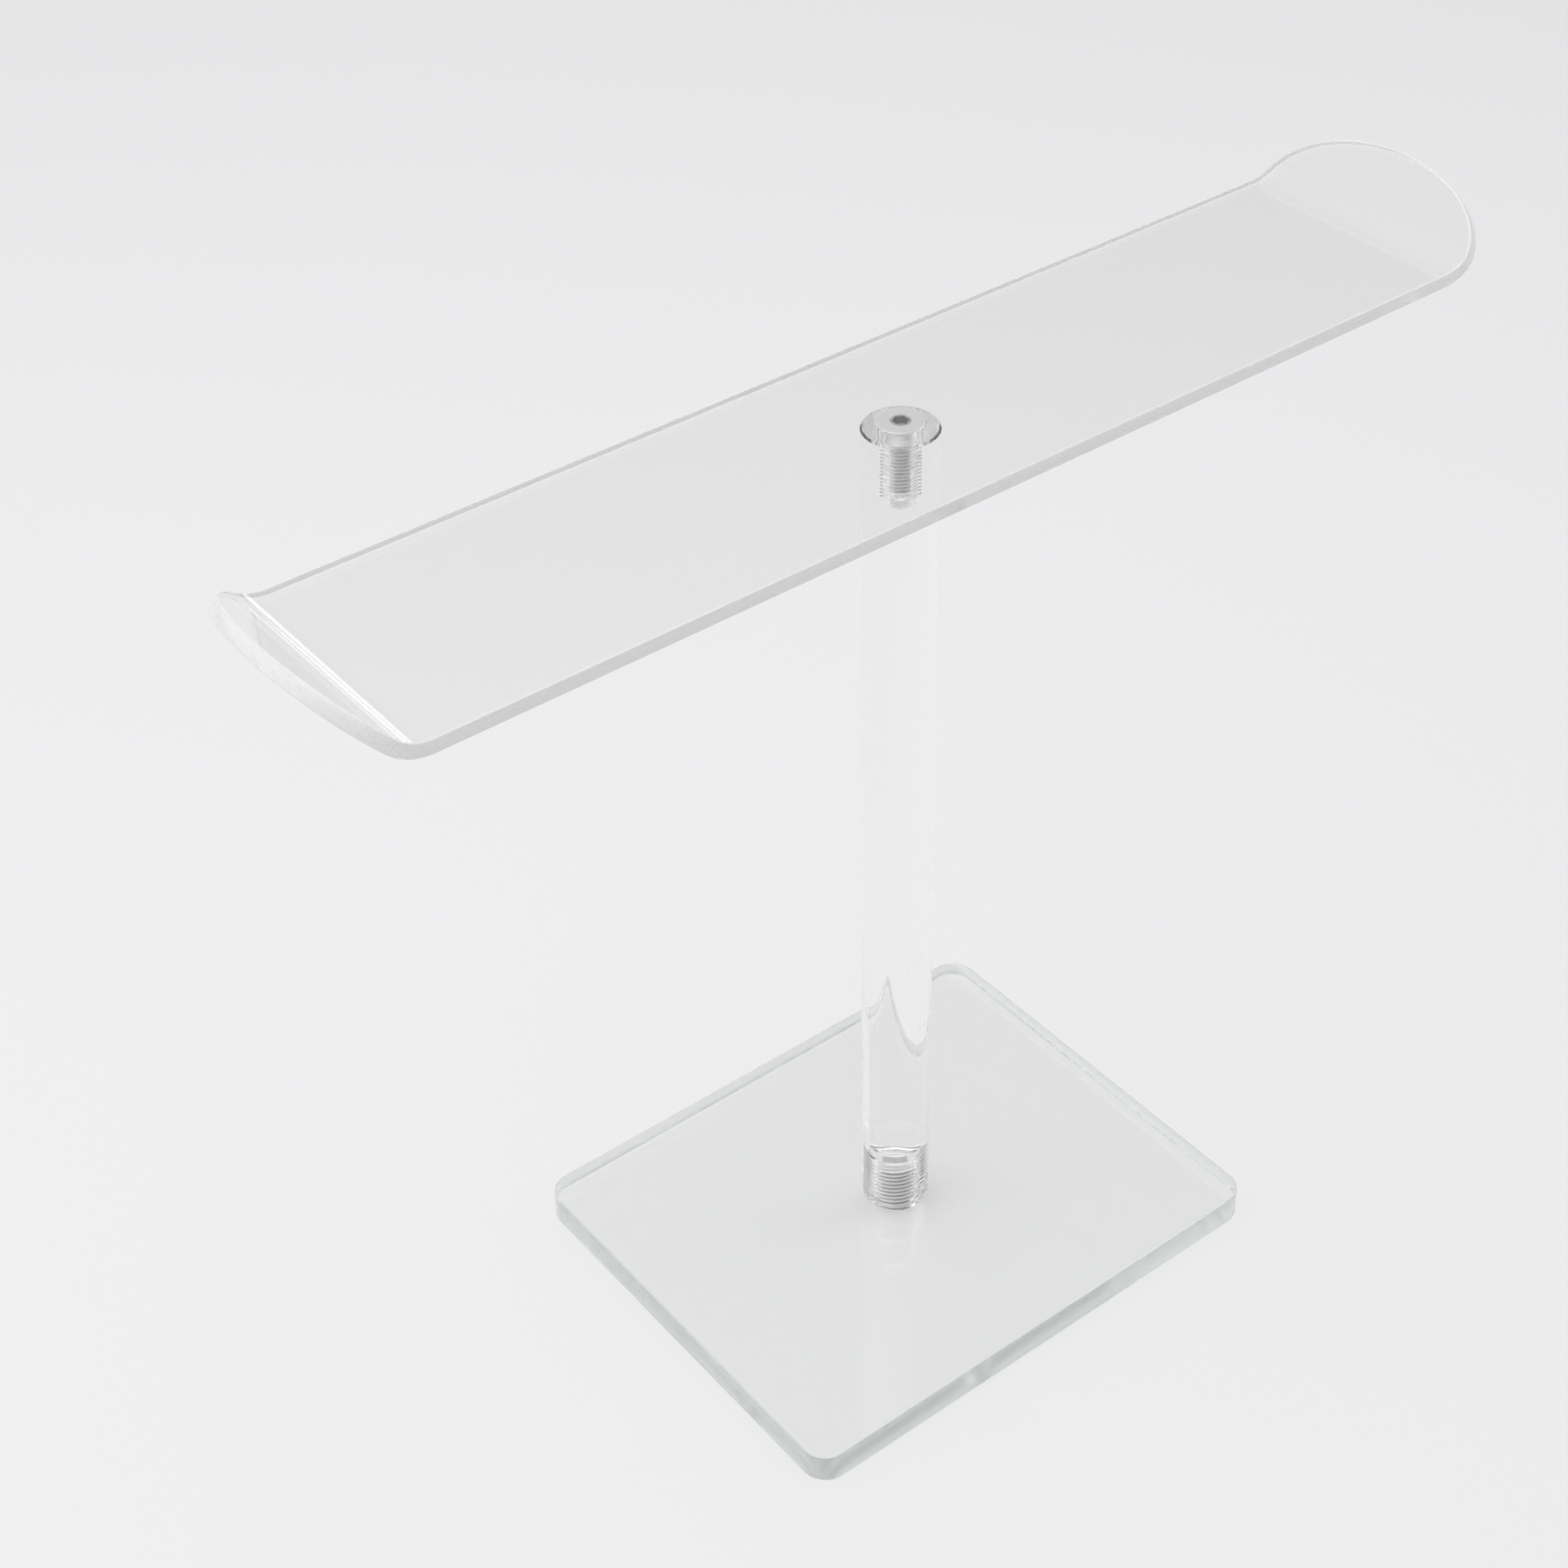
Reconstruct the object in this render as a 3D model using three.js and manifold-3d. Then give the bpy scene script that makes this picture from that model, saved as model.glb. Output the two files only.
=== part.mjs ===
// Clear acrylic headband holder: a rail with upturned ends on a round post and a flat base plate.
// Millimetres, +Z up. X runs along the rail, and the origin is under the middle of the base plate.
import * as THREE from 'three';
import { mergeVertices } from 'three/addons/utils/BufferGeometryUtils.js';
import Module from 'manifold-3d';

// Base plate
const baseLength = 132;
const baseWidth = 108;
const baseThickness = 8;
const baseCornerRadius = 6;
const baseEdgeRound = 0.5;

// Post
const postDiameter = 16;
const postLength = 212.8;
const postEdgeChamfer = 0.4;
const drillPointHalfAngle = THREE.MathUtils.degToRad(59);

// Rail: a strip of sheet, bent up at both ends and rounded off
const railThickness = 3.2;
const railWidth = 57;
const railReach = 147; // from the post's axis to each end of the strip, along the sheet
const bendStart = 125; // from the post's axis to where each bend starts
const bendRadius = 10; // on the upper face
const bendAngle = THREE.MathUtils.degToRad(43);
const stopCrown = 16.8; // length of the half-ellipse that rounds the end, along the sheet
const stopStraight = railReach - bendStart - (bendRadius + railThickness / 2) * bendAngle; // past the bend

// Headless socket screw at the foot, countersunk one at the top, and the tapped holes that take them
const baseScrew = {
  diameter: 8, length: 20, tip: 0.6, socketWidth: 4, socketDepth: 5, sink: 0.3, tappedDepth: 16,
};
const railScrew = {
  diameter: 5, length: 16, headDiameter: 10, rim: 0.3, tip: 0.5,
  socketWidth: 3, socketDepth: 1.6, sink: 0.1, tappedDepth: 16,
};
const holeClearance = 0.25; // on the radius, around a shank in a plain hole
const seatClearance = 0.15; // on the radius, around a head in its countersink
const threadClearance = 0.15; // on the radius, around a shank in a tapped hole
const cutThrough = 1; // how far a cutter runs past the face that it opens

// Facets
const roundSegments = 64;
const holeSegments = 48;
const arcSegments = 12;
const crownSegments = 40;
const edgeSegments = 2;

const wasm = await Module();
wasm.setup();

// A closed three.js geometry as a solid that can be joined and cut
function toSolid(geometry) {
  const bare = geometry.clone();
  bare.deleteAttribute('normal');
  bare.deleteAttribute('uv');
  const merged = mergeVertices(bare, 1e-4);
  const corners = merged.index.array;
  const kept = [];
  for (let i = 0; i < corners.length; i += 3) {
    const [a, b, c] = corners.slice(i, i + 3);
    if (a !== b && b !== c && c !== a) kept.push(a, b, c); // a revolve's axis leaves empty triangles
  }
  return new wasm.Manifold(new wasm.Mesh({
    numProp: 3,
    vertProperties: new Float32Array(merged.attributes.position.array),
    triVerts: new Uint32Array(kept),
  }));
}

function toGeometry(solid) {
  const mesh = solid.getMesh();
  const geometry = new THREE.BufferGeometry();
  geometry.setAttribute('position', new THREE.BufferAttribute(mesh.vertProperties, 3));
  geometry.setIndex(new THREE.BufferAttribute(mesh.triVerts, 1));
  const faceted = geometry.toNonIndexed();
  faceted.computeVertexNormals();
  return faceted;
}

// Revolves [radius, height] pairs, listed from the lower axis point to the upper one, about Z
function revolve(profile, segments) {
  const points = profile.map(([radius, height]) => new THREE.Vector2(radius, height));
  return new THREE.LatheGeometry(points, segments).rotateX(Math.PI / 2);
}

// A flat outline drawn in X and Z, drawn out to both sides along Y
function drawAcross(outline, width) {
  const geometry = new THREE.ExtrudeGeometry(outline, {
    depth: width, bevelEnabled: false, curveSegments: arcSegments,
  });
  return geometry.translate(0, 0, -width / 2).rotateX(Math.PI / 2);
}

// Height of a 90 degree countersunk head's cone
function coneHeight(screw) {
  return (screw.headDiameter - screw.diameter) / 2;
}

// Hole for a countersunk screw whose head opens downwards at height 0, through a given thickness
function countersinkCutter(screw, thickness) {
  const headRadius = screw.headDiameter / 2 + seatClearance;
  const shankRadius = screw.diameter / 2 + holeClearance;
  const rimTop = screw.sink + screw.rim;
  return revolve([
    [0, -cutThrough],
    [headRadius, -cutThrough],
    [headRadius, rimTop],
    [shankRadius, rimTop + headRadius - shankRadius],
    [shankRadius, thickness + cutThrough],
    [0, thickness + cutThrough],
  ], holeSegments);
}

// Tapped hole through a given thickness, with a chamfer where it opens downwards
function tappedCutter(screw, thickness) {
  const radius = screw.diameter / 2 + threadClearance;
  return revolve([
    [0, -cutThrough],
    [radius + screw.tip, -cutThrough],
    [radius + screw.tip, 0],
    [radius, screw.tip],
    [radius, thickness + cutThrough],
    [0, thickness + cutThrough],
  ], holeSegments);
}

function roundedPlate(length, width, radius) {
  const x = length / 2 - radius;
  const y = width / 2 - radius;
  const outline = new THREE.Shape();
  outline.absarc(x, y, radius, 0, Math.PI / 2);
  outline.absarc(-x, y, radius, Math.PI / 2, Math.PI);
  outline.absarc(-x, -y, radius, Math.PI, 1.5 * Math.PI);
  outline.absarc(x, -y, radius, 1.5 * Math.PI, 2 * Math.PI);
  return outline;
}

function makeBasePlate() {
  const outline = roundedPlate(baseLength, baseWidth, baseCornerRadius);
  const plate = new THREE.ExtrudeGeometry(outline, {
    depth: baseThickness - 2 * baseEdgeRound,
    bevelThickness: baseEdgeRound,
    bevelSize: baseEdgeRound,
    bevelOffset: -baseEdgeRound,
    bevelSegments: edgeSegments,
    curveSegments: arcSegments,
  }).translate(0, 0, baseEdgeRound);
  const hole = tappedCutter(baseScrew, baseThickness);
  return toGeometry(toSolid(plate).subtract(toSolid(hole)));
}

// The rod and its two blind holes are one closed profile, from the foot hole's drill point to the top one's
function makePost() {
  const radius = postDiameter / 2;
  const footRadius = baseScrew.diameter / 2 + threadClearance;
  const topRadius = railScrew.diameter / 2 + threadClearance;
  const pointHeight = (holeRadius) => holeRadius / Math.tan(drillPointHalfAngle);
  const footEnd = baseScrew.tappedDepth;
  const topEnd = postLength - railScrew.tappedDepth;
  return revolve([
    [0, footEnd + pointHeight(footRadius)],
    [footRadius, footEnd],
    [footRadius, postEdgeChamfer],
    [footRadius + postEdgeChamfer, 0],
    [radius - postEdgeChamfer, 0],
    [radius, postEdgeChamfer],
    [radius, postLength - postEdgeChamfer],
    [radius - postEdgeChamfer, postLength],
    [topRadius + postEdgeChamfer, postLength],
    [topRadius, postLength - postEdgeChamfer],
    [topRadius, topEnd],
    [0, topEnd - pointHeight(topRadius)],
  ], roundSegments);
}

// Screw standing on its driven end, with a hexagon socket and a countersunk head if it has one
function makeScrew(screw) {
  const shankRadius = screw.diameter / 2;
  const drivenEnd = screw.headDiameter ? [
    [screw.headDiameter / 2, 0],
    [screw.headDiameter / 2, screw.rim],
    [shankRadius, screw.rim + coneHeight(screw)],
  ] : [
    [shankRadius - screw.tip, 0],
    [shankRadius, screw.tip],
  ];
  const body = revolve([
    [0, 0],
    ...drivenEnd,
    [shankRadius, screw.length - screw.tip],
    [shankRadius - screw.tip, screw.length],
    [0, screw.length],
  ], holeSegments);
  const socketRadius = screw.socketWidth / Math.sqrt(3);
  const socketHeight = screw.socketDepth + cutThrough;
  const socket = new THREE.CylinderGeometry(socketRadius, socketRadius, socketHeight, 6)
    .rotateX(Math.PI / 2)
    .translate(0, 0, screw.socketDepth - socketHeight / 2);
  return toGeometry(toSolid(body).subtract(toSolid(socket)));
}

// Side view of the bent strip, with its underside at height 0
function railProfile() {
  const bendCentre = railThickness + bendRadius;
  const outer = bendRadius + railThickness;
  const down = -Math.PI / 2;
  const tip = (side, radius) => [
    side * (bendStart + radius * Math.sin(bendAngle) + stopStraight * Math.cos(bendAngle)),
    bendCentre - radius * Math.cos(bendAngle) + stopStraight * Math.sin(bendAngle),
  ];
  const profile = new THREE.Shape();
  profile.moveTo(-bendStart, 0);
  profile.absarc(bendStart, bendCentre, outer, down, down + bendAngle);
  profile.lineTo(...tip(1, outer));
  profile.lineTo(...tip(1, bendRadius));
  profile.absarc(bendStart, bendCentre, bendRadius, down + bendAngle, down, true);
  profile.absarc(-bendStart, bendCentre, bendRadius, down, down - bendAngle, true);
  profile.lineTo(...tip(-1, bendRadius));
  profile.lineTo(...tip(-1, outer));
  profile.absarc(-bendStart, bendCentre, outer, down - bendAngle, down);
  return profile;
}

// Prism square to an end stop, whose half-ellipse end gives the stop its rounded outline
function stopOutline(side) {
  const reach = 4 * railReach; // takes in all the rest of the strip
  const margin = railWidth;
  const halfWidth = railWidth / 2;
  const crownStart = stopStraight - stopCrown;
  const outline = new THREE.Shape();
  outline.moveTo(-reach, -margin);
  outline.lineTo(crownStart, -margin);
  outline.lineTo(crownStart, -halfWidth);
  outline.absellipse(crownStart, 0, stopCrown, halfWidth, -Math.PI / 2, Math.PI / 2);
  outline.lineTo(crownStart, margin);
  outline.lineTo(-reach, margin);
  const prism = new THREE.ExtrudeGeometry(outline, {
    depth: 2 * reach, bevelEnabled: false, curveSegments: crownSegments,
  });
  prism.translate(0, 0, -reach).rotateY(-bendAngle);
  prism.translate(
    bendStart + bendRadius * Math.sin(bendAngle),
    0,
    railThickness + bendRadius * (1 - Math.cos(bendAngle)),
  );
  return side > 0 ? prism : prism.rotateZ(Math.PI);
}

function makeRail() {
  const strip = toSolid(drawAcross(railProfile(), railWidth));
  const hole = countersinkCutter(railScrew, railThickness)
    .rotateX(Math.PI)
    .translate(0, 0, railThickness);
  const rounded = strip
    .intersect(toSolid(stopOutline(1)))
    .intersect(toSolid(stopOutline(-1)));
  return toGeometry(rounded.subtract(toSolid(hole)));
}

function clearAcrylic(color) {
  return new THREE.MeshStandardMaterial({
    color, roughness: 0.05, metalness: 0, transparent: true, opacity: 0.3,
  });
}

function steel(color) {
  return new THREE.MeshStandardMaterial({ color, roughness: 0.3, metalness: 1 });
}

function addPiece(group, name, geometry, material, height) {
  const mesh = new THREE.Mesh(geometry, material);
  mesh.name = name;
  mesh.position.z = height;
  group.add(mesh);
  return mesh;
}

const postTop = baseThickness + postLength;
const holder = new THREE.Group();
addPiece(holder, 'base_plate', makeBasePlate(), clearAcrylic(0xe6ece8), 0);
addPiece(holder, 'base_screw', makeScrew(baseScrew), steel(0xb4b6b8), baseScrew.sink);
addPiece(holder, 'post', makePost(), clearAcrylic(0xeef2ee), baseThickness);
addPiece(holder, 'rail', makeRail(), clearAcrylic(0xeaf0ec), postTop);
const topScrew = addPiece(
  holder, 'rail_screw', makeScrew(railScrew), steel(0xb8babc), postTop + railThickness - railScrew.sink,
);
topScrew.rotation.x = Math.PI;

export default holder;
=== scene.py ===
# Clear acrylic headband holder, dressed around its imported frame. Metres, +Z up.
import math

import bmesh
import bpy
from mathutils import Euler, Matrix, Vector


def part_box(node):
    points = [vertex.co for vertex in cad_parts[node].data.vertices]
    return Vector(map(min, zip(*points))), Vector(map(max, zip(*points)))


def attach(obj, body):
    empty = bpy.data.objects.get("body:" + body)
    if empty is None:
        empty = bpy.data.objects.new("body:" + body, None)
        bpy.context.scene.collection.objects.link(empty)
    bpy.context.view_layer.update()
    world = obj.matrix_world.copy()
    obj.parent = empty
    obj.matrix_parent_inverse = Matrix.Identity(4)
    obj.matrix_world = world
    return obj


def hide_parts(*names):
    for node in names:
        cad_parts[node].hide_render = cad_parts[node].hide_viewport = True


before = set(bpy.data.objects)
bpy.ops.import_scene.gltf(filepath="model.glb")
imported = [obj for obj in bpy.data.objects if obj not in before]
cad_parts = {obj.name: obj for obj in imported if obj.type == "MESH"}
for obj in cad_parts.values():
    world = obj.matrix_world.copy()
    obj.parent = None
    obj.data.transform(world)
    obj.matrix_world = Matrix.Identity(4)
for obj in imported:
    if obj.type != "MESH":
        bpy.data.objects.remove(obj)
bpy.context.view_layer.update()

scene = bpy.context.scene
mm = 0.001
closeTo = 0.002 * mm  # two heights within this are the same
cutTolerance = closeTo / 10  # points this near a cutting plane lie on it
creaseAngle = math.radians(28)  # edges sharper than this keep a hard line
airGap = 0.04 * mm  # clear faces that touch keep a film of air between them


# One socket of a material, so that sums of masks can be written as sums
class Wire:
    def __init__(self, tree, socket):
        self.tree = tree
        self.socket = socket

    def maths(self, operation, first, second):
        settings = {"operation": operation}
        return addNode(self.tree, "ShaderNodeMath", settings, {0: first, 1: second}, 0)

    def __add__(self, other):
        return self.maths("ADD", self, other)

    def __radd__(self, other):
        return self.maths("ADD", other, self)

    def __mul__(self, other):
        return self.maths("MULTIPLY", self, other)

    def __rmul__(self, other):
        return self.maths("MULTIPLY", other, self)

    def __pow__(self, other):
        return self.maths("POWER", self, other)

    def __rpow__(self, other):
        return self.maths("POWER", other, self)


# Any node: its settings come first, then the values or links of its sockets
def addNode(tree, kind, settings, values, output=None):
    node = tree.nodes.new(kind)
    for name, value in settings.items():
        if name == "stops":
            for stop, (place, shade) in zip(node.color_ramp.elements, value):
                stop.position = place
                stop.color = (*shade, 1)
        else:
            setattr(node, name, value)
    for name, value in values.items():
        if isinstance(value, Wire):
            tree.links.new(value.socket, node.inputs[name])
        else:
            node.inputs[name].default_value = value
    return None if output is None else Wire(tree, node.outputs[output])


def newMaterial(name):
    material = bpy.data.materials.new(name)
    material.use_nodes = True
    material.node_tree.nodes.clear()
    return material, material.node_tree


# Clear acrylic: its finish is in its roughness and in fine bumps
def makeAcrylic(name, look):
    material, tree = newMaterial(name)
    place = addNode(tree, "ShaderNodeTexCoord", {}, {}, "Object")
    stretched = addNode(tree, "ShaderNodeMapping", {"vector_type": "TEXTURE"}, {
        "Vector": place, "Rotation": (0, look["lean"], 0), "Scale": look["stretch"]}, 0)
    haze = addNode(tree, "ShaderNodeTexNoise", {}, {
        "Vector": place, "Scale": look["hazeScale"], "Detail": look["hazeDetail"]}, "Fac")
    grain = addNode(tree, "ShaderNodeTexNoise", {}, {
        "Vector": stretched, "Scale": look["grainScale"], "Detail": look["grainDetail"]}, "Fac")
    bump = addNode(tree, "ShaderNodeBump", {}, {
        "Height": grain, "Strength": look["bumpStrength"], "Distance": look["bumpDistance"]}, 0)
    hazed = look["hazeDepth"] * haze ** look["hazePower"]
    grained = look["grainDepth"] * grain ** look["grainPower"]
    plastic = addNode(tree, "ShaderNodeBsdfPrincipled", {}, {
        "Base Color": (*look["tint"], 1), "Roughness": look["polish"] + hazed + grained,
        "IOR": look["index"], "Transmission Weight": look["clearness"], "Normal": bump}, 0)
    shade = addNode(tree, "ShaderNodeBsdfTransparent", {}, {"Color": (*look["shade"], 1)}, 0)
    # Light from lamps and from the floor goes straight through, so that no black shadow is left
    lampRay = addNode(tree, "ShaderNodeLightPath", {}, {}, "Is Shadow Ray")
    floorRay = addNode(tree, "ShaderNodeLightPath", {}, {}, "Is Diffuse Ray")
    lit = addNode(tree, "ShaderNodeMixShader", {}, {0: lampRay, 1: plastic, 2: shade}, 0)
    surface = addNode(tree, "ShaderNodeMixShader", {}, {0: floorRay, 1: lit, 2: shade}, 0)
    addNode(tree, "ShaderNodeOutputMaterial", {}, {"Surface": surface})
    return material


# Zinc-bright steel with random mottled tone, and painted shade that darkens it down in the thread
# roots
def makeSteel(name, look):
    material, tree = newMaterial(name)
    place = addNode(tree, "ShaderNodeTexCoord", {}, {}, "Object")
    x = addNode(tree, "ShaderNodeSeparateXYZ", {}, {0: place}, "X")
    y = addNode(tree, "ShaderNodeSeparateXYZ", {}, {0: place}, "Y")
    radius = (x * x + y * y) ** 0.5
    # Painted shade: 0 at the thread root and 1 at the crest; the colour ramp darkens towards 0
    climb = addNode(tree, "ShaderNodeMapRange", {}, {
        "Value": radius, "From Min": look["rootRadius"], "From Max": look["crestRadius"]}, 0)
    mottle = addNode(tree, "ShaderNodeTexNoise", {}, {
        "Vector": place, "Scale": look["mottleScale"], "Detail": look["mottleDetail"]}, "Fac")
    mottleAndRootShade = addNode(tree, "ShaderNodeValToRGB", {"stops": look["tones"]}, {
        0: look["climbShare"] * climb + look["mottleShare"] * mottle}, "Color")
    bump = addNode(tree, "ShaderNodeBump", {}, {
        "Height": mottle, "Strength": look["bumpStrength"], "Distance": look["bumpDistance"]}, 0)
    metal = addNode(tree, "ShaderNodeBsdfPrincipled", {}, {
        "Base Color": mottleAndRootShade, "Metallic": look["metallic"], "Normal": bump,
        "Roughness": look["roughness"] + look["roughnessDepth"] * mottle}, 0)
    addNode(tree, "ShaderNodeOutputMaterial", {}, {"Surface": metal})
    return material


acrylicLook = {
    "tint": (0.99, 0.99, 0.985), "shade": (0.968, 0.97, 0.966), "clearness": 1.0, "index": 1.49,
    "polish": 0.0, "hazeScale": 28.0, "hazeDetail": 3.0, "hazePower": 2, "hazeDepth": 0.03,
    "lean": 0.0, "stretch": (1.0, 1.0, 1.0),
    "grainScale": 1800.0, "grainDetail": 2.0, "grainPower": 3, "grainDepth": 0.06,
    "bumpStrength": 0.02, "bumpDistance": 0.02 * mm,
}
# Cut edges: satin from the saw, with fine lines left along them, and a grey tint that is painted
# shade
shadedEdgeLook = acrylicLook | {
    "tint": (0.91, 0.915, 0.912), "clearness": 0.3,
    "polish": 0.2, "hazeDepth": 0.10, "stretch": (1.0, 1.0, 0.05), "grainScale": 90.0,
    "grainDepth": 0.2, "bumpStrength": 0.04, "bumpDistance": 0.03 * mm,
}
# The plate's edges let more light through; their grey-green tint is partly the acrylic's own green
# cast and partly painted shade
shadedPlateEdgeLook = shadedEdgeLook | {"tint": (0.81, 0.855, 0.825), "clearness": 0.8, "polish": 0.14}
# Tapped holes: the tap leaves the plastic a little milky
threadLook = acrylicLook | {
    "clearness": 0.9, "polish": 0.12, "grainDepth": 0.2, "bumpStrength": 0.2,
}
# The dark first tone is painted shade in the thread roots; the mottle is random tone
steelLook = {
    "tones": [(0.0, (0.40, 0.40, 0.40)), (0.5, (0.86, 0.86, 0.86))], "metallic": 0.6,
    "climbShare": 0.75, "mottleShare": 0.25, "mottleScale": 900.0, "mottleDetail": 4.0,
    "roughness": 0.26, "roughnessDepth": 0.16,
    "bumpStrength": 0.1, "bumpDistance": 0.02 * mm,
}
acrylic = makeAcrylic("clear_acrylic", acrylicLook)
acrylicEdge = makeAcrylic("satin_shaded_sheet_edge", shadedEdgeLook)
plateEdge = makeAcrylic("satin_shaded_plate_edge", shadedPlateEdgeLook)
acrylicThread = makeAcrylic("tapped_acrylic", threadLook)
print("materials ready")


# Shared modelling steps
def drawLine(bm, points):
    verts = [bm.verts.new(point) for point in points]
    return verts + [bm.edges.new(pair) for pair in zip(verts, verts[1:])]


# Turns (radius, height) pairs about Z
def turnProfile(bm, profile, steps):
    line = drawLine(bm, [(radius, 0, height) for radius, height in profile])
    bmesh.ops.spin(bm, geom=line, axis=(0, 0, 1), angle=math.tau, steps=steps, use_merge=True)
    bmesh.ops.remove_doubles(bm, verts=bm.verts, dist=closeTo)


# Fills the flat between all the open edges at one height, and any loose edges that are given
def closeFlat(bm, height, looseEdges=()):
    rims = [
        edge for edge in bm.edges
        if edge.is_boundary and all(abs(vert.co.z - height) < closeTo for vert in edge.verts)
    ]
    bmesh.ops.triangle_fill(bm, edges=[*rims, *looseEdges], use_beauty=True, normal=(0, 0, 1))


threadForm = {"rootEnd": 0.2, "crestStart": 0.53, "crestEnd": 0.67}  # shares of one pitch


# Wall of a right-hand thread between two heights. It is turned with a climb of one pitch,
# so that its ends meet, and with turns to spare, which are then cut off.
def threadWall(root, crest, pitch, low, high, steps):
    bm = bmesh.new()
    form = threadForm
    corners = (
        (root, 0), (root, form["rootEnd"]), (crest, form["crestStart"]), (crest, form["crestEnd"]),
    )
    points = []
    for turn in range(math.floor(low / pitch) - 2, math.ceil(high / pitch) + 1):
        points += [(radius, 0, (turn + rise) * pitch) for radius, rise in corners]
    line = drawLine(bm, points)
    climb = (0, 0, pitch / steps)
    bmesh.ops.spin(bm, geom=line, axis=(0, 0, 1), dvec=climb, angle=math.tau, steps=steps)
    bmesh.ops.remove_doubles(bm, verts=bm.verts, dist=closeTo)
    for height, outward in ((low, -1), (high, 1)):
        bmesh.ops.bisect_plane(
            bm, geom=bm.verts[:] + bm.edges[:] + bm.faces[:], dist=cutTolerance,
            plane_co=(0, 0, height), plane_no=(0, 0, outward), clear_outer=True,
        )
    return bm


# Wall of a tapped hole, which leaves room around the screw of the same thread
def tapHole(bm, thread, low, high):
    root = thread["root"] + thread["clearance"]
    crest = thread["crest"] + thread["clearance"]
    wall = threadWall(root, crest, thread["pitch"], low, high, thread["steps"])
    mesh = bpy.data.meshes.new("tapped")
    wall.to_mesh(mesh)
    wall.free()
    bm.from_mesh(mesh)
    bpy.data.meshes.remove(mesh)


# Thickens one flat face into a sheet with rounded rims
def thicken(bm, low, high, edgeRound, edgeSteps):
    bmesh.ops.translate(bm, vec=(0, 0, low), verts=bm.verts)
    grown = bmesh.ops.extrude_face_region(bm, geom=bm.faces[:])["geom"]
    raised = [part for part in grown if isinstance(part, bmesh.types.BMVert)]
    bmesh.ops.translate(bm, vec=(0, 0, high - low), verts=raised)
    bmesh.ops.recalc_face_normals(bm, faces=bm.faces)
    rims = [edge for edge in bm.edges if abs(edge.verts[0].co.z - edge.verts[1].co.z) < closeTo]
    bmesh.ops.bevel(
        bm, geom=rims, offset=edgeRound, offset_type="OFFSET", segments=edgeSteps,
        profile=0.5, affect="EDGES", material=-1,
    )


# Takes off the two flat faces of a sheet, which leaves its cut edge
def openFlats(bm):
    flats = [face for face in bm.faces if len(face.verts) > 4]
    bmesh.ops.delete(bm, geom=flats, context="FACES_ONLY")
    return set(bm.faces)


# The flats again, around whatever hole has been put in between them
def closeFlats(bm, low, high, edgeFaces):
    closeFlat(bm, low)
    closeFlat(bm, high)
    for face in bm.faces:
        face.material_index = 1 if face in edgeFaces else 0


# Hard lines where the finish changes and at creases, and smooth shading everywhere else
def shadeSurfaces(bm):
    bmesh.ops.recalc_face_normals(bm, faces=bm.faces)
    for face in bm.faces:
        face.smooth = True
    for edge in bm.edges:
        first, second = edge.link_faces
        sameFinish = first.material_index == second.material_index
        edge.smooth = sameFinish and edge.calc_face_angle() < creaseAngle


def finishPiece(name, bm, materials, node, body):
    shadeSurfaces(bm)
    mesh = bpy.data.meshes.new(name)
    bm.to_mesh(mesh)
    bm.free()
    for material in materials:
        mesh.materials.append(material)
    piece = bpy.data.objects.new(name, mesh)
    scene.collection.objects.link(piece)
    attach(piece, body)
    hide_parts(node)
    print(name, "has", len(mesh.polygons), "faces")


# Threads: M8 at the foot of the post, M5 at its top
footThread = {
    "root": 3.2 * mm, "crest": 3.95 * mm, "pitch": 1.25 * mm, "steps": 48, "clearance": 0.13 * mm,
}
topThread = {
    "root": 2.0 * mm, "crest": 2.46 * mm, "pitch": 0.8 * mm, "steps": 40, "clearance": 0.1 * mm,
}

# Base plate, with a plain hole in which the foot screw can turn
plateShape = {
    "cornerRadius": 6 * mm, "cornerSteps": 16, "edgeRound": 0.5 * mm, "edgeSteps": 3,
    "holeRadius": 4.15 * mm, "mouth": 0.4 * mm, "holeSteps": 64,
}


def makeBasePlate():
    shape = plateShape
    low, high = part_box("base_plate")
    bm = bmesh.new()
    bmesh.ops.create_grid(bm, x_segments=1, y_segments=1, size=0.5)
    bmesh.ops.scale(bm, vec=(high[0] - low[0], high[1] - low[1], 1), verts=bm.verts)
    bmesh.ops.bevel(
        bm, geom=bm.verts[:], offset=shape["cornerRadius"], offset_type="OFFSET",
        segments=shape["cornerSteps"], profile=0.5, affect="VERTICES", material=-1,
    )
    thicken(bm, low[2], high[2], shape["edgeRound"], shape["edgeSteps"])
    edgeFaces = openFlats(bm)
    hole, mouth = shape["holeRadius"], shape["mouth"]
    turnProfile(bm, [
        (hole + mouth, low[2]),
        (hole, low[2] + mouth),
        (hole, high[2] - mouth),
        (hole + mouth, high[2]),
    ], shape["holeSteps"])
    closeFlats(bm, low[2], high[2], edgeFaces)
    finishPiece("clear_base_plate", bm, [acrylic, plateEdge], "base_plate", "base")


# Screws: a headless one in the foot of the post, and a countersunk one down through the rail
footScrewShape = {"socketWidth": 4 * mm, "socketDepth": 5 * mm, "drillPoint": 0.8 * mm}
topScrewShape = {
    "rim": 0.3 * mm, "headEase": 0.1 * mm, "neck": 1.85 * mm, "neckLength": 0.6 * mm,
    "socketWidth": 3 * mm, "socketDepth": 1.6 * mm, "drillPoint": 0.5 * mm,
}


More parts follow.
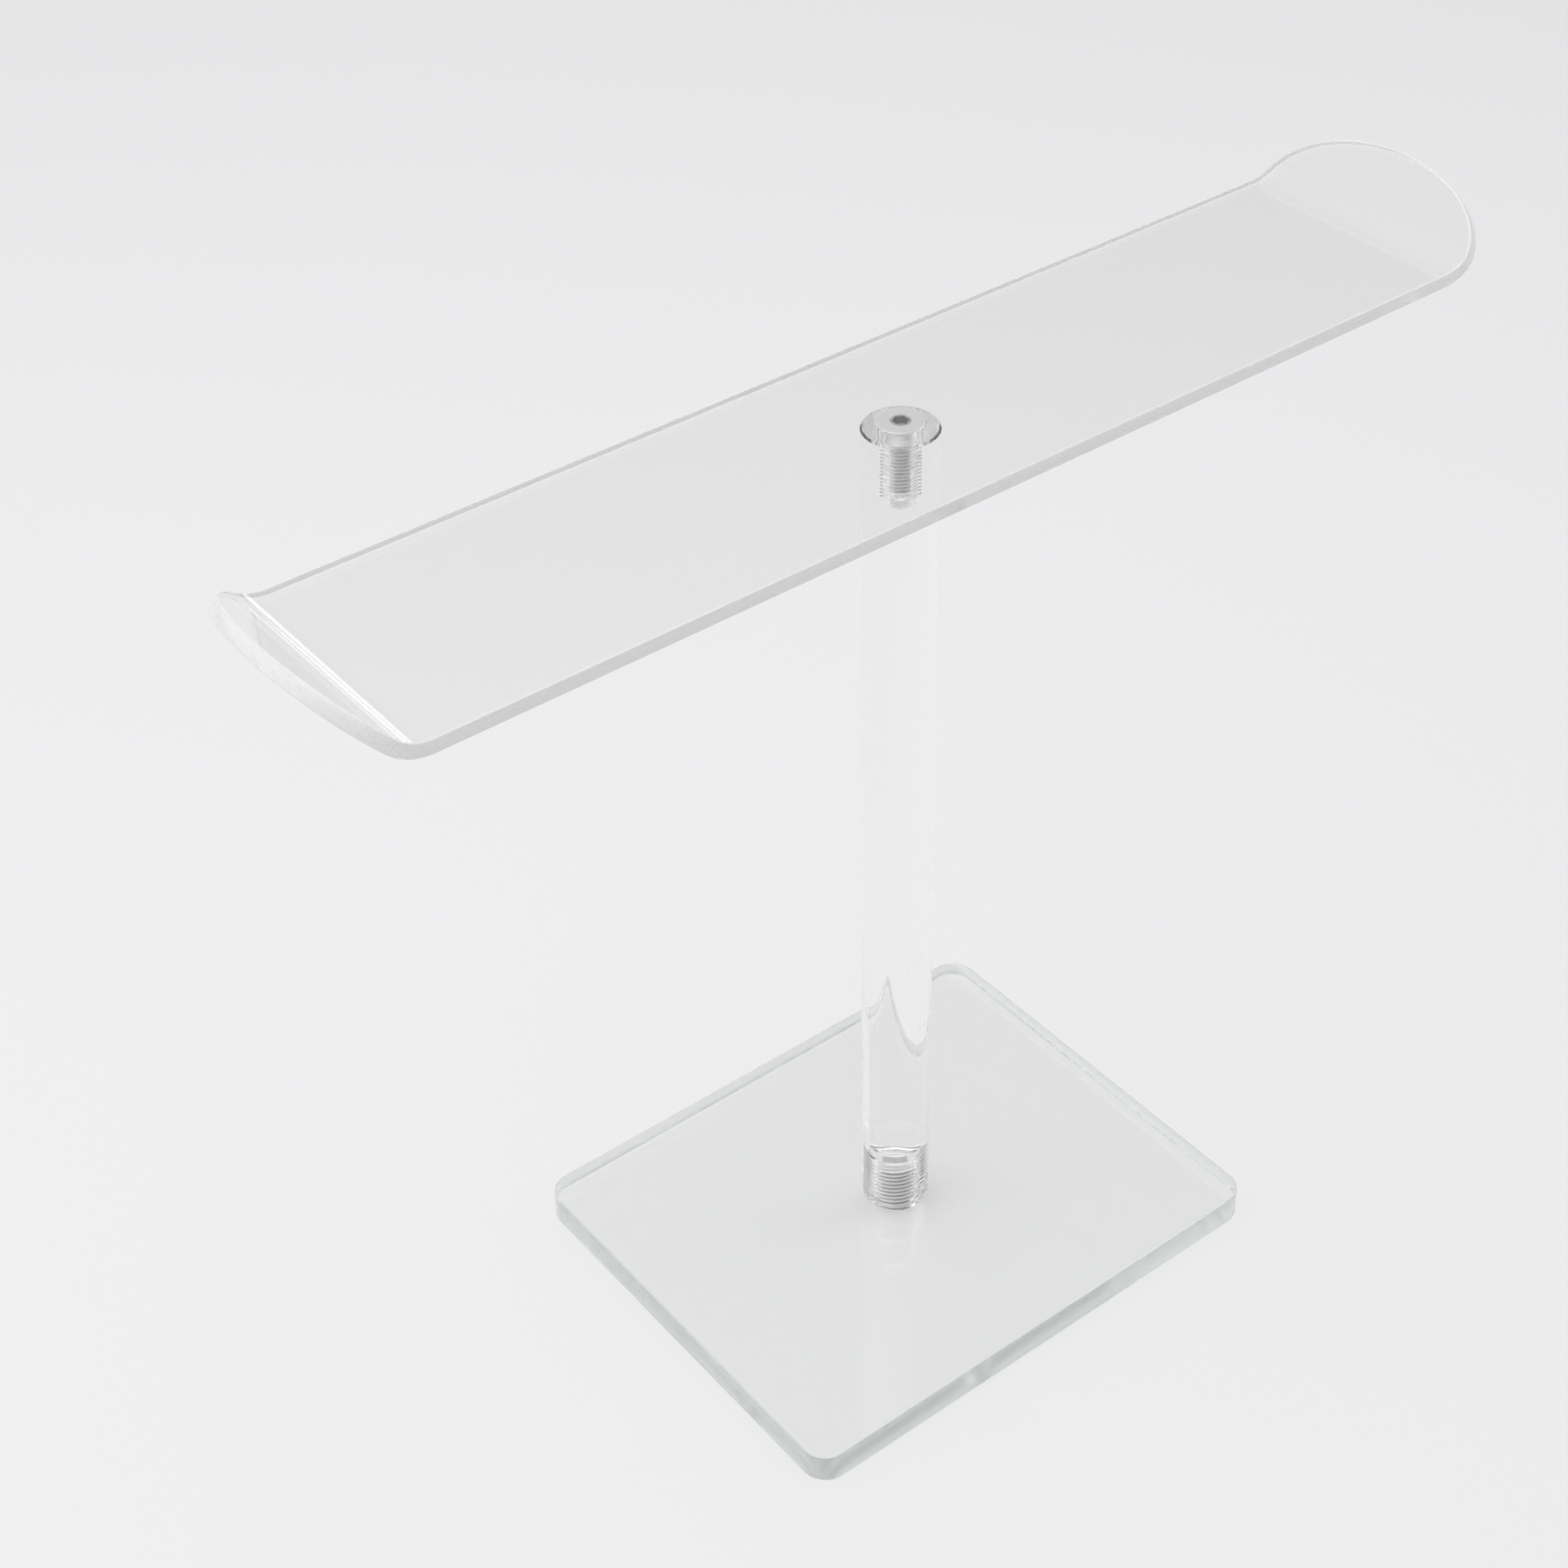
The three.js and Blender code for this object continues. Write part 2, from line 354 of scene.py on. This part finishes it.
# The driven end is at the foot of the node's box if up is 1, and at its top if up is -1
def makeScrew(name, node, shape, thread, up):
    low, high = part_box(node)
    headAt, tipAt = (low[2], high[2]) if up > 0 else (high[2], low[2])
    headed = "rim" in shape
    threadStart = headAt
    chamfered = [tipAt, headAt]
    if headed:
        headRadius = (high[0] - low[0]) / 2
        coneEnd = shape["rim"] + headRadius - thread["crest"]
        threadStart = headAt + up * (coneEnd + shape["neckLength"])
        chamfered = [tipAt]
    bm = threadWall(
        thread["root"], thread["crest"], thread["pitch"],
        min(threadStart, tipAt), max(threadStart, tipAt), thread["steps"],
    )
    # Each free end is chamfered down to the root of the thread
    for vert in bm.verts:
        limit = thread["root"] + min(abs(end - vert.co.z) for end in chamfered)
        reach = math.hypot(vert.co.x, vert.co.y)
        if reach > limit:
            bmesh.ops.scale(bm, vec=(limit / reach, limit / reach, 1), verts=[vert])
    closeFlat(bm, tipAt)
    if headed:
        turnProfile(bm, [
            (headRadius - shape["headEase"], headAt),
            (headRadius, headAt + up * shape["headEase"]),
            (headRadius, headAt + up * shape["rim"]),
            (thread["crest"], headAt + up * coneEnd),
            (shape["neck"], headAt + up * (coneEnd + shape["neckLength"] / 2)),
            (shape["neck"], threadStart),
        ], 2 * thread["steps"])
        closeFlat(bm, threadStart)
    # Hexagon socket, whose rim has no faces until the flat around it is filled
    headPlane = Matrix.Translation((0, 0, headAt))
    socketRadius = shape["socketWidth"] / math.sqrt(3)
    bmesh.ops.create_circle(bm, segments=6, radius=socketRadius, matrix=headPlane)
    rim = [edge for edge in bm.edges if edge.is_wire]
    closeFlat(bm, headAt, rim)
    wall = bmesh.ops.extrude_edge_only(bm, edges=rim)["geom"]
    floor = [part for part in wall if isinstance(part, bmesh.types.BMVert)]
    bmesh.ops.translate(bm, vec=(0, 0, up * shape["socketDepth"]), verts=floor)
    sides = [part for part in wall if isinstance(part, bmesh.types.BMEdge)]
    floorEdges = [edge for edge in sides if edge.is_boundary]
    bottom = bmesh.ops.contextual_create(bm, geom=floorEdges)["faces"]
    # The cone that the drill leaves in the socket
    drilled = bmesh.ops.poke(bm, faces=bottom)["verts"]
    bmesh.ops.translate(bm, vec=(0, 0, up * shape["drillPoint"]), verts=drilled)
    look = steelLook | {"rootRadius": thread["root"], "crestRadius": thread["crest"]}
    steel = makeSteel(name + "_steel", look)
    finishPiece(name, bm, [steel], node, "post")


# Post: a rod tapped at both ends
postShape = {
    "steps": 128, "chamfer": 0.4 * mm, "mouth": 0.35 * mm, "ledge": 0.05 * mm,
    "footTapped": 14.0 * mm, "topTapped": 14.5 * mm,
    "drilled": 16.0 * mm, "drillAngle": math.radians(59),
}


def makePost():
    shape = postShape
    low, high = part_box("post")
    radius = (high[0] - low[0]) / 2
    bm = bmesh.new()
    ends = (
        (low[2] + airGap, 1, footThread, shape["footTapped"]),
        (high[2] - airGap, -1, topThread, shape["topTapped"]),
    )
    outline = []
    mouths = []
    for end, inward, thread, tapped in ends:
        drill = thread["root"] + thread["clearance"] - shape["ledge"]
        mouthRadius = thread["crest"] + thread["clearance"] + shape["ledge"]
        mouth = end + inward * shape["mouth"]
        bottom = end + inward * shape["drilled"]
        tapEnd = end + inward * tapped
        point = bottom + inward * drill / math.tan(shape["drillAngle"])
        tapHole(bm, thread, min(mouth, tapEnd), max(mouth, tapEnd))
        turnProfile(bm, [(drill, tapEnd), (drill, bottom), (0, point)], thread["steps"])
        closeFlat(bm, tapEnd)
        side = [
            (mouthRadius, mouth),
            (mouthRadius + shape["mouth"], end),
            (radius - shape["chamfer"], end),
            (radius, end + inward * shape["chamfer"]),
        ]
        outline += side if inward > 0 else side[::-1]
        mouths.append(mouth)
    holeFaces = set(bm.faces)
    turnProfile(bm, outline, shape["steps"])
    for mouth in mouths:
        closeFlat(bm, mouth)
    for face in bm.faces:
        centre = face.calc_center_median()
        inHole = math.hypot(centre.x, centre.y) < radius - 2 * shape["chamfer"]
        face.material_index = 1 if face in holeFaces and inHole else 0
    finishPiece("clear_post", bm, [acrylic, acrylicThread], "post", "post")


# Rail: a strip cut flat with rounded ends, then heat bent up at both ends
railShape = {
    "reach": 147 * mm, "crown": 16.8 * mm, "crownSteps": 44, "thickness": 3.2 * mm,
    "bendStart": 125 * mm, "bendAngle": math.radians(43), "bendRadius": 10 * mm, "bendSteps": 16,
    "edgeRound": 0.35 * mm, "edgeSteps": 3,
    "edgeSlots": {1: 2, -1: 3},  # the finish of each stop's edge, by its side
    "seatRadius": 5.15 * mm, "seatDepth": 0.4 * mm, "holeRadius": 2.75 * mm, "holeSteps": 48,
}


def makeRail():
    shape = railShape
    low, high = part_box("rail")
    width = high[1] - low[1]
    underside, top = low[2], low[2] + shape["thickness"]
    bm = bmesh.new()
    # The flat blank: two half-ellipses, joined by straight sides
    shoulders = []
    for side in (1, -1):
        start = bm.verts.new((0, -side * width / 2, 0))
        bmesh.ops.spin(bm, geom=[start], axis=(0, 0, 1), angle=math.pi, steps=shape["crownSteps"])
        bm.verts.ensure_lookup_table()
        crown = bm.verts[-shape["crownSteps"] - 1:]
        bmesh.ops.scale(bm, vec=(2 * shape["crown"] / width, 1, 1), verts=crown)
        bmesh.ops.translate(bm, vec=(side * (shape["reach"] - shape["crown"]), 0, 0), verts=crown)
        shoulders += [crown[0], crown[-1]]
    bm.edges.new((shoulders[1], shoulders[2]))
    bm.edges.new((shoulders[3], shoulders[0]))
    bmesh.ops.contextual_create(bm, geom=bm.edges[:])
    thicken(bm, underside, top, shape["edgeRound"], shape["edgeSteps"])
    edgeFaces = openFlats(bm)
    coneEnd = shape["seatDepth"] + shape["seatRadius"] - shape["holeRadius"]
    turnProfile(bm, [
        (shape["seatRadius"], top),
        (shape["seatRadius"], top - shape["seatDepth"]),
        (shape["holeRadius"], top - coneEnd),
        (shape["holeRadius"], underside),
    ], shape["holeSteps"])
    closeFlats(bm, underside, top, edgeFaces)
    # Cut lines across both bends, so that the sheet can follow them
    start, angle = shape["bendStart"], shape["bendAngle"]
    neutral = shape["bendRadius"] + shape["thickness"] / 2
    for side in (1, -1):
        for step in range(shape["bendSteps"] + 1):
            across = side * (start + neutral * angle * step / shape["bendSteps"])
            bmesh.ops.bisect_plane(
                bm, geom=bm.verts[:] + bm.edges[:] + bm.faces[:], dist=cutTolerance,
                plane_co=(across, 0, 0), plane_no=(1, 0, 0),
            )
    # Each point past a bend's start goes round it, and then on along the stop
    for vert in bm.verts:
        side = 1 if vert.co.x > 0 else -1
        reach = abs(vert.co.x) - start
        if reach <= 0:
            continue
        turn = min(reach / neutral, angle)
        straight = reach - turn * neutral
        for face in vert.link_faces:
            if face in edgeFaces and straight > 0:
                face.material_index = shape["edgeSlots"][side]
        radius = shape["bendRadius"] + top - vert.co.z
        vert.co.x = side * (start + radius * math.sin(turn) + straight * math.cos(turn))
        vert.co.z = top + shape["bendRadius"] - radius * math.cos(turn) + straight * math.sin(turn)
    # The stops' edges carry the same grey tint of painted shade as the sheet's edges
    stopEdges = [
        makeAcrylic(name, shadedEdgeLook | {"lean": lean})
        for name, lean in (("satin_shaded_right_stop_edge", -angle), ("satin_shaded_left_stop_edge", angle))
    ]
    materials = [acrylic, acrylicEdge, *stopEdges]
    finishPiece("clear_bent_rail", bm, materials, "rail", "rail")


makeBasePlate()
makePost()
makeRail()
makeScrew("foot_screw", "base_screw", footScrewShape, footThread, 1)
makeScrew("top_screw", "rail_screw", topScrewShape, topThread, -1)

# Stage: a pale floor in a plain grey room, with soft boxes overhead, at the sides and behind
stageLook = {
    "floorRadius": 6.0, "floorSteps": 96, "floorDrop": 0.1 * mm,
    "floorColour": (0.85, 0.85, 0.855), "floorRoughness": 0.7, "floorShine": 0.2,
    "room": (0.38, 0.38, 0.39),
}
lampLooks = {
    "top_box": {"at": (-0.25, -0.05, 1.6), "aim": (0, 0, 0.1), "size": (1.6, 2.2), "power": 18.5},
    "left_box": {"at": (-1.4, 0.5, 0.8), "aim": (0, 0, 0.15), "size": (1.0, 1.2), "power": 2.5},
    "right_box": {"at": (1.4, -0.5, 0.8), "aim": (0, 0, 0.15), "size": (0.9, 1.2), "power": 3.5},
    "back_box": {"at": (1.0, 1.3, 0.36), "aim": (0, 0, 0.2), "size": (1.6, 0.25), "power": 1.9},
    "far_box": {"at": (-0.8, 1.4, 0.8), "aim": (0, 0, 0.2), "size": (2.2, 1.0), "power": 4.5},
}


def makeStage():
    look = stageLook
    bm = bmesh.new()
    bmesh.ops.create_circle(
        bm, cap_ends=True, segments=look["floorSteps"], radius=look["floorRadius"],
    )
    bmesh.ops.translate(bm, vec=(0, 0, -look["floorDrop"]), verts=bm.verts)
    mesh = bpy.data.meshes.new("floor")
    bm.to_mesh(mesh)
    bm.free()
    material, tree = newMaterial("pale_floor")
    paint = addNode(tree, "ShaderNodeBsdfPrincipled", {}, {
        "Base Color": (*look["floorColour"], 1), "Roughness": look["floorRoughness"],
        "Specular IOR Level": look["floorShine"]}, 0)
    addNode(tree, "ShaderNodeOutputMaterial", {}, {"Surface": paint})
    mesh.materials.append(material)
    floor = bpy.data.objects.new("floor", mesh)
    scene.collection.objects.link(floor)
    world = bpy.data.worlds.new("room")
    world.use_nodes = True
    world.node_tree.nodes["Background"].inputs["Color"].default_value = (*look["room"], 1)
    scene.world = world
    for name, lamp in lampLooks.items():
        light = bpy.data.lights.new(name, "AREA")
        light.shape = "RECTANGLE"
        light.size, light.size_y = lamp["size"]
        light.energy = lamp["power"]
        box = bpy.data.objects.new(name, light)
        box.location = lamp["at"]
        away = box.location - Vector(lamp["aim"])
        box.rotation_euler = away.to_track_quat("Z", "Y").to_euler()
        scene.collection.objects.link(box)


# Camera, fitted to the photograph
cameraFit = {
    "lens": 64.136, "sensor": 36.0, "nearest": 0.01, "at": (-0.301998, -0.359131, 0.508248),
    "heading": math.radians(-37.073), "pitch": math.radians(38.608),
    "roll": math.radians(-1.429),
}


def makeCamera():
    fit = cameraFit
    lens = bpy.data.cameras.new("camera")
    lens.lens = fit["lens"]
    lens.sensor_width = fit["sensor"]
    lens.clip_start = fit["nearest"]
    camera = bpy.data.objects.new("camera", lens)
    aimed = Euler((math.pi / 2 - fit["pitch"], 0, fit["heading"])).to_matrix().to_4x4()
    rolled = aimed @ Matrix.Rotation(fit["roll"], 4, "Z")
    camera.matrix_world = Matrix.Translation(fit["at"]) @ rolled
    scene.collection.objects.link(camera)
    scene.camera = camera


lightBounces = 32  # light meets many faces on its way along the sheet
clearBounces = 24  # faces that light from a lamp can go straight through
makeStage()
makeCamera()
scene.view_settings.view_transform = "Standard"
scene.cycles.max_bounces = lightBounces
scene.cycles.glossy_bounces = lightBounces
scene.cycles.transmission_bounces = lightBounces
scene.cycles.transparent_max_bounces = clearBounces
print("stage and camera ready")
